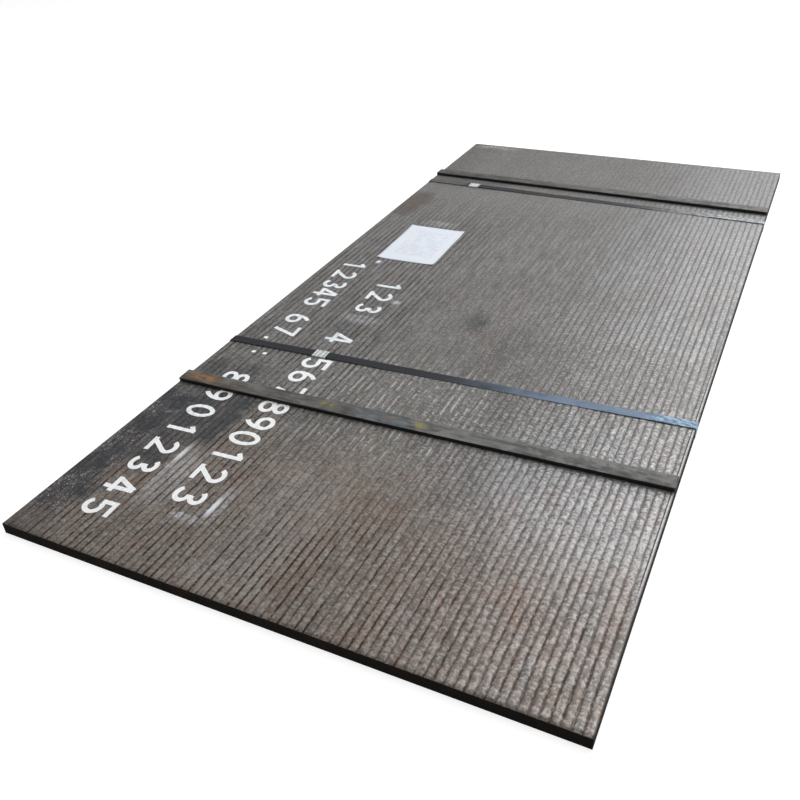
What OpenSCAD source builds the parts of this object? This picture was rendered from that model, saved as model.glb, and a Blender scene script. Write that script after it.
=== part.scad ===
// Weld-overlay wear plate, strapped for transport: one steel plate faced with parallel weld beads,
// two steel straps with crimped seals, two loose flat bars across it and a document sleeve on top.
// X runs across the beads, Y along them with the front edge at -Y, and Z up from the floor.

/* [Plate] */
// Width of the plate, across the weld beads
plate_w = 1400; // [600:10:2000]
// Length of the plate, along the weld beads
plate_l = 3000; // [2400:10:4000]
// Height of the plate from its underside to the bead crowns
plate_t = 30; // [12:1:60]
// Spacing of the weld beads
bead_pitch = 20; // [12:1:40]
// Height of a bead crown above the groove beside it
bead_h = 1.4; // [0.6:0.1:2.5]

/* [Straps] */
// Width of the steel strapping
strap_w = 32; // [16:1:40]
// Thickness of the strapping
strap_t = 0.9; // [0.5:0.1:1.5]
// Distance of the front strap's middle from the plate's front edge
front_strap_in = 959; // [850:1:1100]
// How much further back the front strap's right end lies than its left end
front_strap_skew = 56; // [-80:1:80]
// Distance of the back strap's middle from the plate's back edge
back_strap_in = 571; // [560:1:700]
// How much further back the back strap's right end lies than its left end
back_strap_skew = -34; // [-60:1:20]
// Length of the strap end that overlaps under the seal
tail_l = 96; // [70:1:150]

/* [Seals] */
// Length of a seal along its strap
seal_l = 43; // [40:1:65]
// Thickness of the seal's sheet
seal_t = 1.2; // [0.8:0.1:2]
// Clearance between a seal and the strap inside it
seal_fit = 0.4; // [0.2:0.1:0.8]
// Width of the slit between the two lips folded under the strap
lip_slit = 5; // [2:1:10]
// Number of crimps pressed across a seal
crimp_count = 3; // [2:1:4]
// Width of a crimp
crimp_w = 9; // [5:1:9]
// Depth of a crimp
crimp_h = 0.5; // [0.2:0.1:0.6]
// Distance of the front seal's middle from the plate's left edge
front_seal_in = 313; // [100:1:500]
// Distance of the back seal's middle from the plate's left edge
back_seal_in = 213; // [100:1:500]

/* [Flat bars] */
// Width of a flat bar
bar_w = 50; // [30:1:60]
// Thickness of a flat bar
bar_t = 12; // [5:1:20]
// Radius of a flat bar's rolled edges
bar_edge_r = 1.2; // [0.5:0.1:2]
// How far a flat bar's end lies inside the plate's long edge
bar_inset = 0; // [0:1:30]
// Distance of the front bar's middle from the plate's front edge
front_bar_in = 707; // [500:1:730]
// How much further back the front bar's right end lies than its left end
front_bar_skew = 40; // [-20:1:80]
// Distance of the back bar's middle from the plate's back edge
back_bar_in = 468; // [300:1:475]
// How much further back the back bar's right end lies than its left end
back_bar_skew = -25; // [-60:1:20]

/* [Document sleeve] */
// Width of the sleeve
sleeve_w = 222; // [100:1:260]
// Length of the sleeve
sleeve_l = 318; // [150:1:400]
// Thickness of the sleeve with its papers
sleeve_t = 0.6; // [0.3:0.1:2]
// Distance of the sleeve's middle from the plate's left edge
sleeve_in_x = 258; // [150:1:450]
// Distance of the sleeve's middle from the plate's back edge
sleeve_in_y = 1208; // [1000:1:1500]
// Turn of the sleeve, in degrees
sleeve_turn = 1.2; // [-10:0.2:10]

/* [Hidden] */

// Sides of a round, all true arcs
round_fn = 96;
// Clearance of anything that lies on the bead crowns
seat_gap = 0.2;
// Clearance of a strap beside the plate's long edges
strap_side_gap = 0.3;
// Overrun of every cut
cut_over = 5;

// A whole number of beads fills the width
bead_count = round(plate_w / bead_pitch);
bead_step = plate_w / bead_count;
// Radius of the arc through a crown and the two grooves beside it
bead_r = (bead_step * bead_step / 4 + bead_h * bead_h) / (2 * bead_h);
// Radius of the arc that presses a crimp of that width and depth
crimp_r = (crimp_w * crimp_w / 4 + crimp_h * crimp_h) / (2 * crimp_h);

// Heights above the floor: the strapping lies under the plate, a seal's lips under the strapping
plate_z = strap_t;
crown_z = plate_z + plate_t;
seat_z = crown_z + seat_gap;
strap_top_z = seat_z + seal_t + seal_fit + strap_t;

// Places on the plate, from its middle
front_strap_y = front_strap_in - plate_l / 2;
back_strap_y = plate_l / 2 - back_strap_in;
front_seal_x = front_seal_in - plate_w / 2;
back_seal_x = back_seal_in - plate_w / 2;
front_bar_y = front_bar_in - plate_l / 2;
back_bar_y = plate_l / 2 - back_bar_in;
sleeve_x = sleeve_in_x - plate_w / 2;
sleeve_y = plate_l / 2 - sleeve_in_y;

// Outside of a strap's loop
loop_w = plate_w + 2 * (strap_side_gap + strap_t);
// A seal wraps the strap and the tail that overlaps it
seal_in_w = strap_w + 2 * seal_fit;
seal_in_h = 2 * (strap_t + seal_fit);
seal_out_w = seal_in_w + 2 * seal_t;
seal_out_h = seal_in_h + 2 * seal_t;

// Turn of a piece whose right end lies further back than its left end
function skew_turn(skew) = atan(skew / plate_w);
// Place along the plate of a skewed piece at a distance across it
function skew_y(middle_y, skew, x) = middle_y + skew * x / plate_w;

// A rectangle with true round corners, standing on the X axis
module rounded_rect(w, h, r) {
    translate([-w / 2 + r, 0])
        square([w - 2 * r, h]);
    translate([-w / 2, r])
        square([w, h - 2 * r]);
    for (side = [-1, 1], z = [r, h - r])
        translate([side * (w / 2 - r), z])
            circle(r = r, $fn = round_fn);
}

// Turns an XY section so that it stands in XZ and runs along Y, centred
module along_y(length) {
    translate([0, length / 2, 0])
        rotate([90, 0, 0])
            linear_extrude(height = length)
                children();
}

// Turns an XY section so that it stands in YZ and runs along X, centred
module along_x(length) {
    rotate([0, 0, 90])
        along_y(length)
            children();
}

// Section of one weld bead: a low arc whose foot runs down into the plate
module bead_section() {
    foot_z = plate_t - 2 * bead_h;
    intersection() {
        translate([0, plate_t - bead_r])
            circle(r = bead_r, $fn = round_fn);
        translate([-bead_step / 2, foot_z])
            square([bead_step, plate_t + cut_over - foot_z]);
    }
}

// Section of the whole plate: the beads side by side, fused with the steel under them
module plate_section() {
    translate([-plate_w / 2, 0])
        square([plate_w, plate_t - bead_h]);
    for (i = [0 : bead_count - 1])
        translate([(i + 0.5) * bead_step - plate_w / 2, 0])
            bead_section();
}

module wear_plate() {
    color("#6f6a64")
        translate([0, 0, plate_z])
            along_y(plate_l)
                plate_section();
}

// Section of a strap's loop round the plate, with the end that overlaps under the seal
module loop_section(seal_x) {
    difference() {
        rounded_rect(loop_w, strap_top_z, strap_t);
        translate([-loop_w / 2 + strap_t, strap_t])
            square([loop_w - 2 * strap_t, strap_top_z - 2 * strap_t]);
    }
    translate([seal_x - tail_l / 2, strap_top_z])
        square([tail_l, strap_t]);
}

// A loop of strapping, cut out of a wide loop by a band that crosses the plate askew
module strap(middle_y, skew, seal_x) {
    band_w = strap_w / cos(skew_turn(skew));
    band_x = loop_w / 2 + cut_over;
    left_y = skew_y(0, skew, -band_x);
    right_y = skew_y(0, skew, band_x);
    translate([0, middle_y, 0])
        intersection() {
            along_y(band_w + abs(right_y - left_y))
                loop_section(seal_x);
            translate([0, 0, -cut_over])
                linear_extrude(height = strap_top_z + strap_t + 2 * cut_over)
                    polygon([
                        [-band_x, left_y - band_w / 2],
                        [band_x, right_y - band_w / 2],
                        [band_x, right_y + band_w / 2],
                        [-band_x, left_y + band_w / 2]
                    ]);
        }
}

module front_strap() {
    color("#2b2f36")
        strap(front_strap_y, front_strap_skew, front_seal_x);
}

module back_strap() {
    color("#2b2f36")
        strap(back_strap_y, back_strap_skew, back_seal_x);
}

// Section of a seal: a sleeve with rounded folds, open in a slit between its two lips
module seal_section() {
    difference() {
        rounded_rect(seal_out_w, seal_out_h, seal_t);
        translate([-seal_in_w / 2, seal_t])
            square([seal_in_w, seal_in_h]);
        translate([-lip_slit / 2, -cut_over])
            square([lip_slit, cut_over + seal_t + strap_t / 2]);
    }
}

// A seal crimped over the overlapping strap ends
module seal(middle_y, skew, seal_x) {
    crimp_step = seal_l / crimp_count;
    translate([seal_x, skew_y(middle_y, skew, seal_x), seat_z])
        rotate([0, 0, skew_turn(skew)])
            difference() {
                along_x(seal_l)
                    seal_section();
                for (i = [0 : crimp_count - 1])
                    translate([(i + 0.5) * crimp_step - seal_l / 2, 0, seal_out_h - crimp_h + crimp_r])
                        rotate([90, 0, 0])
                            cylinder(r = crimp_r, h = seal_out_w + 2 * cut_over, center = true, $fn = round_fn);
            }
}

module front_seal() {
    color("#c9ccca")
        seal(front_strap_y, front_strap_skew, front_seal_x);
}

module back_seal() {
    color("#c9ccca")
        seal(back_strap_y, back_strap_skew, back_seal_x);
}

// A rolled flat bar lying across the bead crowns
module flat_bar(middle_y, skew) {
    turn = skew_turn(skew);
    // Turned askew, its corners still end inside the plate's long edges
    bar_l = (plate_w - 2 * bar_inset - bar_w * abs(sin(turn))) / cos(turn);
    translate([0, middle_y, seat_z])
        rotate([0, 0, turn])
            along_x(bar_l)
                rounded_rect(bar_w, bar_t, bar_edge_r);
}

module front_bar() {
    color("#5d5348")
        flat_bar(front_bar_y, front_bar_skew);
}

module back_bar() {
    color("#5d5348")
        flat_bar(back_bar_y, back_bar_skew);
}

// Papers in a clear sleeve, lying on the bead crowns
module document_sleeve() {
    color("#eef1f6")
        translate([sleeve_x, sleeve_y, seat_z])
            rotate([0, 0, sleeve_turn])
                translate([-sleeve_w / 2, -sleeve_l / 2, 0])
                    cube([sleeve_w, sleeve_l, sleeve_t]);
}

wear_plate();
front_strap();
back_strap();
front_seal();
back_seal();
front_bar();
back_bar();
document_sleeve();
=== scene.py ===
from functools import reduce

import bpy
import numpy as np
from mathutils import Matrix, Vector


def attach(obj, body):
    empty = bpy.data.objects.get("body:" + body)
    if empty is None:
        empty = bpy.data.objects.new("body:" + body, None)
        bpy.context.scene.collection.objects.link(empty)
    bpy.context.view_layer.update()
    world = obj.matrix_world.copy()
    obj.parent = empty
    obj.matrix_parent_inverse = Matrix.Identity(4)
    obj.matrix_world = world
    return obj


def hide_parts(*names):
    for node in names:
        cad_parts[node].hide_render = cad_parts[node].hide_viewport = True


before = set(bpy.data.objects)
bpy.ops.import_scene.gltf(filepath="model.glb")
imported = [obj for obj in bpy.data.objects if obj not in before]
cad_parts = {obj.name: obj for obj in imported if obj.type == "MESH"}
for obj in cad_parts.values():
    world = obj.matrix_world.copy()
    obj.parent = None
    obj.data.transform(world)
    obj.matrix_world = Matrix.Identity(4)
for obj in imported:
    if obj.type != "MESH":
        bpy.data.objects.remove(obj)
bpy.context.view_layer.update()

scene = bpy.context.scene
scene.view_settings.view_transform = "Standard"
mm = 0.001
print("frame loaded:", len(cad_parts), "nodes")


class Value:  # one socket of a node tree; arithmetic on it adds Math nodes
    def __init__(self, nodes, socket):
        self.nodes, self.socket = nodes, socket

    def math(self, operation, *inputs):
        return self.nodes.add("ShaderNodeMath", {"operation": operation}, dict(enumerate(inputs)))

    def out(self, name):  # another output of the same node
        return Value(self.nodes, self.socket.node.outputs[name])

    def __add__(self, other):
        return self.math("ADD", self, other)

    def __sub__(self, other):
        return self.math("SUBTRACT", self, other)

    def __rsub__(self, other):
        return self.math("SUBTRACT", other, self)

    def __mul__(self, other):
        return self.math("MULTIPLY", self, other)

    def __truediv__(self, other):
        return self.math("DIVIDE", self, other)

    def __abs__(self):
        return self.math("ABSOLUTE", self)

    def floor(self):
        return self.math("FLOOR", self)

    def fract(self):
        return self.math("FRACT", self)

    def atMost(self, other):
        return self.math("MINIMUM", self, other)

    def atLeast(self, other):
        return self.math("MAXIMUM", self, other)

    __radd__, __rmul__ = __add__, __mul__


class Nodes:  # a node tree, with a short way to add each kind of node that is used
    def __init__(self, tree):
        self.tree = tree

    def add(self, kind, settings=None, sockets=None, out=0):
        node = self.tree.nodes.new(kind)
        for key, value in (settings or {}).items():
            setattr(node, key, value)
        for key, value in (sockets or {}).items():
            self.put(node.inputs[key], value)
        return None if out is None else Value(self, node.outputs[out])

    def put(self, socket, value):
        if isinstance(value, Value):
            self.tree.links.new(value.socket, socket)
        elif socket.type == "RGBA":
            socket.default_value = (*value[:3], 1)
        else:
            socket.default_value = value

    def axes(self, vector):
        parts = self.add("ShaderNodeSeparateXYZ", {}, {0: vector})
        return parts, parts.out("Y"), parts.out("Z")

    def place(self):  # object coordinates, whole and along each axis
        where = self.add("ShaderNodeTexCoord", out="Object")
        return (where, *self.axes(where))

    def attribute(self, name):
        return self.axes(self.add("ShaderNodeAttribute", {"attribute_name": name}, out="Vector"))

    def point(self, x, y, z):
        return self.add("ShaderNodeCombineXYZ", {}, {0: x, 1: y, 2: z})

    def noise(self, vector, scale=1.0, detail=2.0, rough=0.6):
        return self.add("ShaderNodeTexNoise", {}, {
            "Vector": vector, "Scale": scale, "Detail": detail, "Roughness": rough})

    def rise(self, value, low, high):  # 0 below low, 1 above high, smooth between
        return self.add("ShaderNodeMapRange", {"interpolation_type": "SMOOTHSTEP"}, {
            "Value": value, "From Min": low, "From Max": high})

    def within(self, value, low, high, soft):  # 1 from low to high, soft at both ends
        return self.rise(value, low - soft, low + soft) * (1 - self.rise(value, high - soft, high + soft))

    def patch(self, x, y, spot):  # a soft rectangle on the plate
        return self.within(x, *spot["x"], spot["soft"]) * self.within(y, *spot["y"], spot["soft"])

    def mix(self, factor, first, second):  # inputs 6 and 7 and output 2 are the node's colours
        return self.add("ShaderNodeMix", {"data_type": "RGBA"}, {0: factor, 6: first, 7: second}, 2)

    def bump(self, height, distance):
        return self.add("ShaderNodeBump", {}, {"Height": height, "Distance": distance})


class Finish(Nodes):  # a material with one Principled shader
    def __init__(self, name):
        self.material = bpy.data.materials.new(name)
        self.material.use_nodes = True
        super().__init__(self.material.node_tree)
        self.tree.nodes.clear()
        shader = self.add("ShaderNodeBsdfPrincipled")
        self.add("ShaderNodeOutputMaterial", {}, {"Surface": shader}, None)
        self.shader = shader.socket.node

    def lay(self, share, colour):  # one more colour over the tone so far
        self.tone = self.mix(share, self.tone, colour)

    def surface(self, **sockets):  # Base_Color stands for Base Color
        for key, value in sockets.items():
            self.put(self.shader.inputs[key.replace("_", " ")], value)


# a mesh of the given points and faces, with its attributes and finishes; every piece rides the one body
def makePiece(name, points, faces, finishes, nodes=(), smooth=True, attributes=None, kinds=0):
    mesh = bpy.data.meshes.new(name)
    mesh.from_pydata(points.tolist(), [], faces)
    for key, values in (attributes or {}).items():
        layer = mesh.attributes.new(key, "FLOAT_VECTOR", "POINT")
        layer.data.foreach_set("vector", np.ascontiguousarray(values, np.float32).ravel())
    mesh.polygons.foreach_set("use_smooth", np.broadcast_to(np.asarray(smooth, bool), len(faces)))
    for finish in finishes:
        mesh.materials.append(finish.material)
    mesh.polygons.foreach_set("material_index", np.broadcast_to(np.asarray(kinds, np.int32), len(faces)))
    mesh.update()
    piece = bpy.data.objects.new(name, mesh)
    scene.collection.objects.link(piece)
    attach(piece, "root")
    if nodes:
        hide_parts(*nodes)
    return piece


# arrays joined along a new last axis, such as coordinates into points, each spread to the shape of them all
def together(*parts):
    return np.stack(np.broadcast_arrays(*parts), -1)


# quads of a grid of points, row by row; wrapRows and wrapCols join the last to the first
def gridQuads(rows, cols, start=0, wrapRows=False, wrapCols=False):
    index = start + np.arange(rows * cols).reshape(rows, cols)
    if wrapRows:
        index = np.vstack([index, index[:1]])
    if wrapCols:
        index = np.hstack([index, index[:, :1]])
    return np.stack([index[:-1, :-1], index[:-1, 1:], index[1:, 1:], index[1:, :-1]], -1).reshape(-1, 4)


# faces of a section carried along a path: quads round it and, where the path is open, a cap at each end
def sweepFaces(rows, cols, start=0, closed=False):
    end = start + rows * cols
    caps = [list(range(start + cols - 1, start - 1, -1)), list(range(end - cols, end))]
    return gridQuads(rows, cols, start, closed, True)[:, [3, 0, 1, 2]].tolist() + ([] if closed else caps)


# a sum of sine waves of given lengths, each with its own random phase in every column
def waves(along, lengths, sizes, columns, seed):
    phase = np.random.default_rng(seed).uniform(0, 2 * np.pi, (len(lengths), columns))
    total = np.zeros((len(along), columns))
    for length, size, turn in zip(lengths, sizes, phase):
        total += size * np.sin(2 * np.pi * along[:, None] / length + turn)
    return total


plate = {
    "halfWidth": 0.7, "halfLength": 1.5, "under": 0.9 * mm, "crown": 30.9 * mm, "beadHeight": 1.4 * mm,
    "beads": 70, "rows": 230,
    "across": [0, 0.06, 0.2, 0.5, 0.8, 0.94],  # grid columns in one bead, as shares of its width
    "flatPower": 4.0, "roundPower": 2.0, "roundZone": (0.10, 0.45),
    # groove depths as shares of the bead height; a zone begins at its first place and is full at its second
    "shallow": 0.35, "frontZone": (0.50, 1.00),
    "leftDepth": 0.55, "leftZone": (0.06, 0.36), "leftEnd": (0.15, 0.60),
    "rightDepth": 0.38, "rightZone": (0.00, 0.45), "rightLoss": 0.24, "lossZone": (0.30, 1.00),
    "wanderLengths": [0.41, 0.137, 0.059, 0.037], "wander": [0.30 * mm, 0.22 * mm, 0.18 * mm, 0.22 * mm],
    "swellLengths": [0.35, 0.11, 0.043, 0.031], "swell": [0.05, 0.05, 0.05, 0.05],
    "wanderSeed": 11, "swellSeed": 12,
}


# groove k lies at an even step across the plate plus its own sum of waves along it; the rims stay straight
def grooveLines(y):
    even = np.linspace(-plate["halfWidth"], plate["halfWidth"], plate["beads"] + 1)
    drift = waves(y, plate["wanderLengths"], plate["wander"], plate["beads"] + 1, plate["wanderSeed"])
    drift[:, [0, -1]] = 0
    return even + drift


# how full each bead is at y: 1 less a sum of waves, so that no crown stands above the plate's height
def beadFullness(y):
    most = sum(plate["swell"])
    return 1 - most + waves(y, plate["swellLengths"], plate["swell"], plate["beads"], plate["swellSeed"])


# 0 below low, 1 above high, a smooth cubic between
def smoothStep(value, low, high):
    share = np.clip((value - low) / (high - low), 0, 1)
    return share * share * (3 - 2 * share)


# a bead's section: 1 on the crown, falling to 0 in both grooves by a power of the distance from the crown;
# flat beads at the left, rounder ones to the right
def beadSection(x, share):
    gain = plate["roundPower"] - plate["flatPower"]
    power = plate["flatPower"] + gain * smoothStep(x, *plate["roundZone"])
    return 1 - np.abs(2 * share - 1) ** power


# depth of the grooves as a share of the bead height: full at the front, less to the right and at the left,
# shallow where the beads ran together at the back and in the middle
def grooveDepth(x, y):
    front = smoothStep(-y, *plate["frontZone"])
    right = plate["rightDepth"] - plate["rightLoss"] * smoothStep(y, *plate["lossZone"])
    right = right * smoothStep(x, *plate["rightZone"])
    left = smoothStep(-x, *plate["leftZone"]) * (1 - smoothStep(y, *plate["leftEnd"])) * plate["leftDepth"]
    return plate["shallow"] + (1 - plate["shallow"]) * np.maximum(front, np.maximum(right, left))


# height over a bead falls from the crown by the groove's depth times what the section and fullness leave
def beadTop(x, y, share, full):
    return plate["crown"] - plate["beadHeight"] * grooveDepth(x, y) * (1 - full * beadSection(x, share))


# height of the plate's top at any points: find the bead that holds each point, then its section there
def plateTop(x, y):
    flatX, flatY = np.ravel(x), np.ravel(y)
    grooves, full = grooveLines(flatY), beadFullness(flatY)
    line = np.arange(len(flatX))
    bead = np.clip((grooves < flatX[:, None]).sum(1) - 1, 0, plate["beads"] - 1)
    left, right = grooves[line, bead], grooves[line, bead + 1]
    share = np.clip((flatX - left) / (right - left), 0, 1)
    top = beadTop(flatX, flatY, share, full[line, bead])
    height = full[line, bead] * beadSection(flatX, share)
    return top.reshape(np.shape(x)), height.reshape(np.shape(x))


# the plate is a grid over its top, closed by a flat underside, two long sides and the two cut ends
def buildPlate(finishes):
    y = np.linspace(-plate["halfLength"], plate["halfLength"], plate["rows"])
    share = np.array(plate["across"])
    grooves, full = grooveLines(y), beadFullness(y)
    step = np.diff(grooves, axis=1)
    x = grooves[:, :-1, None] + step[:, :, None] * share
    z = beadTop(x, y[:, None, None], share, full[:, :, None]).reshape(len(y), -1)
    x = np.hstack([x.reshape(len(y), -1), grooves[:, -1:]])
    z = np.hstack([z, beadTop(x[:, -1:], y[:, None], 1, 1)])
    cols = x.shape[1]
    beadIndex = np.append((np.arange(plate["beads"])[:, None] + share).ravel(), plate["beads"])
    top = together(x, y[:, None], z).reshape(-1, 3)
    side = plate["halfWidth"]
    base = together([-side, side], y[:, None], plate["under"]).reshape(-1, 3)
    points = np.vstack([top, base])
    topQuads = gridQuads(len(y), cols)
    leftTop = np.arange(len(y)) * cols
    rightTop = leftTop + cols - 1
    leftBase = len(top) + 2 * np.arange(len(y))
    rightBase = leftBase + 1
    strips = [(leftBase, leftTop), (rightTop, rightBase), (rightBase, leftBase)]
    sideQuads = np.vstack([np.stack([a[:-1], b[:-1], b[1:], a[1:]], -1) for a, b in strips])
    front = [int(leftBase[0]), int(rightBase[0])] + list(range(cols - 1, -1, -1))
    back = [int(rightBase[-1]), int(leftBase[-1])] + list(range((len(y) - 1) * cols, len(y) * cols))
    faces = topQuads.tolist() + sideQuads.tolist() + [front, back]
    beadMap = together(beadIndex, y[:, None], 0.0).reshape(-1, 3)
    beadMap = np.vstack([beadMap, np.zeros((len(base), 3))])
    onTop = np.arange(len(faces)) < len(topQuads)
    return makePiece("overlayPlate", points, faces, finishes, ["wear_plate"], onTop,
                     {"beadMap": beadMap}, np.where(onTop, 0, 1))


overlay = {
    "brown": (0.212, 0.176, 0.148), "drab": (0.184, 0.180, 0.174), "grey": (0.211, 0.210, 0.208),
    "dark": (0.075, 0.068, 0.061),
    "light": (0.42, 0.41, 0.40), "rust": (0.215, 0.118, 0.068), "groove": (0.020, 0.015, 0.012),
    "glint": (0.66, 0.65, 0.64), "stain": (0.027, 0.032, 0.040), "spray": (0.78, 0.80, 0.86),
    "bare": (0.378, 0.388, 0.424), "paintedGrooveShade": (0.070, 0.068, 0.067), "brownStain": (0.085, 0.058, 0.042),
    "pink": (0.245, 0.185, 0.168), "olive": (0.215, 0.198, 0.145), "cool": (0.198, 0.212, 0.220),
    "warm": (0.270, 0.198, 0.160), "soft": (0.165, 0.160, 0.155), "redGroove": (0.032, 0.019, 0.014),
    "relief": 2.6 * mm,
}


# a soft rectangle on the plate: from and to in x, from and to in y, how soft, and its shares
def area(x0, x1, y0, y1, soft, **shares):
    return {"x": (x0, x1), "y": (y0, y1), "soft": soft, **shares}


patches = [  # how far the grooves are gone there, how much darker or paler it is
    area(0.00, 0.66, -0.52, -0.20, 0.090, smooth=0.55, shade=0.44),
    area(0.14, 0.80, -0.76, -0.48, 0.050, shade=0.21),
    area(-0.10, 0.12, -1.02, -0.86, 0.050, smooth=0.75),
    area(-0.20, 0.80, -0.28, 0.15, 0.120, shade=0.11),
    area(0.40, 0.80, -0.55, 0.62, 0.100, shade=0.10),
    area(-0.80, 0.80, 0.93, 1.60, 0.060, shade=0.20),
    area(0.15, 0.80, 1.10, 1.60, 0.120, shade=0.10),
    area(-0.80, -0.60, 1.05, 1.60, 0.050, shade=0.24),
    area(-0.80, -0.64, -0.84, -0.45, 0.040, shade=0.50),
    area(-0.20, 0.00, -1.60, -1.05, 0.060, pale=0.25),
    # the next patch, paler at the right front, is a painted highlight of reflected light
    area(0.38, 0.80, -1.18, -0.84, 0.080, pale=0.38),
    area(-0.38, -0.10, -0.76, -0.58, 0.050, pale=0.13),
]
stains = [
    area(-0.80, -0.592, -1.42, -0.85, 0.040, share=0.88),
    area(-0.615, -0.485, -1.20, -0.84, 0.030, share=0.76),
    area(-0.50, -0.425, -1.07, -0.84, 0.024, share=0.80),
    area(-0.45, -0.33, -0.44, -0.30, 0.030, share=0.22),
    area(-0.065, 0.025, -0.25, -0.16, 0.035, share=0.58),
    # the next is a darker strip between the back strap and the back bar, at the left
    area(-0.80, -0.36, 0.93, 1.02, 0.025, share=0.30),
    area(-0.68, -0.50, -0.86, -0.69, 0.030, share=0.50),
    area(-0.80, -0.60, -1.60, -1.40, 0.050, share=0.50),
]
brownStain = area(-0.75, -0.60, 0.56, 0.78, 0.045, share=0.55)
sprays = [  # white overspray, hard at one edge: axis and place, fade, from and to along it, softness, share
    ("x", -0.481, 0.024, (-1.155, -1.088), 0.034, 1.0),
    ("x", -0.480, 0.016, (-1.270, -1.120), 0.050, 0.55),
    ("x", -0.470, 0.110, (-1.300, -1.100), 0.060, 0.30),
    ("x", -0.279, 0.026, (-1.290, -1.225), 0.026, 1.0),
    ("x", -0.277, 0.050, (-1.300, -1.190), 0.030, 0.42),
    ("y", -1.303, 0.034, (-0.345, -0.275), 0.016, 0.70),
    ("y", -0.292, 0.070, (-0.450, -0.320), 0.030, 0.40),
    ("y", 1.485, 0.060, (-0.660, -0.480), 0.050, 0.26),
    ("y", 0.520, 0.070, (-0.520, -0.400), 0.040, 0.22),
]
dabs = [  # of the same white
    area(-0.534, -0.518, 0.088, 0.108, 0.006, share=0.95),
    area(-0.338, -0.312, -0.178, -0.160, 0.009, share=0.55),
]


# share of the dark stain: the strongest of the soft rectangles at each place, mottled
def stainShare(f, x, y, drift, mottle):
    marks = [f.patch(x + drift, y + drift * 1.5, spot) * spot["share"] for spot in stains]
    return (reduce(Value.atLeast, marks) * (0.74 + 0.36 * f.rise(mottle, 0.60, 0.40))).atMost(1.0)


# share of white: the strongest of specks on the first stain, overspray that is thin in the grooves, and dabs
def sprayShare(f, x, y, toGroove, grain, speck, blotch, drift):
    specks = f.rise(speck * 0.55 + grain * 0.45, 0.575, 0.64) * f.rise(blotch, 0.47, 0.60)
    spray = specks * f.patch(x + drift * 0.5, y + drift, stains[0]) * 0.80
    thin = 0.30 + 0.70 * f.rise(toGroove + (grain - 0.5) * 0.2, 0.03, 0.30)
    ragged = (grain - 0.5) * 0.018
    cloudy = 0.35 + 0.75 * f.rise(blotch * 0.5 + grain * 0.5, 0.40, 0.62)
    for axis, at, fade, along, soft, share in sprays:
        across, ahead, edge = (x, y, at) if axis == "x" else (0 - y, x, -at)
        reach = across + ragged - edge
        mark = f.rise(reach, -0.003, 0.003) * (1 - f.rise(reach, fade * 0.3, fade))
        mark = mark * f.within(ahead + ragged, *along, soft) * (cloudy if share < 0.8 else 1.0)
        spray = spray.atLeast(mark * thin * share)
    for spot in dabs:
        spray = spray.atLeast(f.patch(x + ragged, y + ragged, spot) * spot["share"])
    return spray.atMost(1.0)
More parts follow.
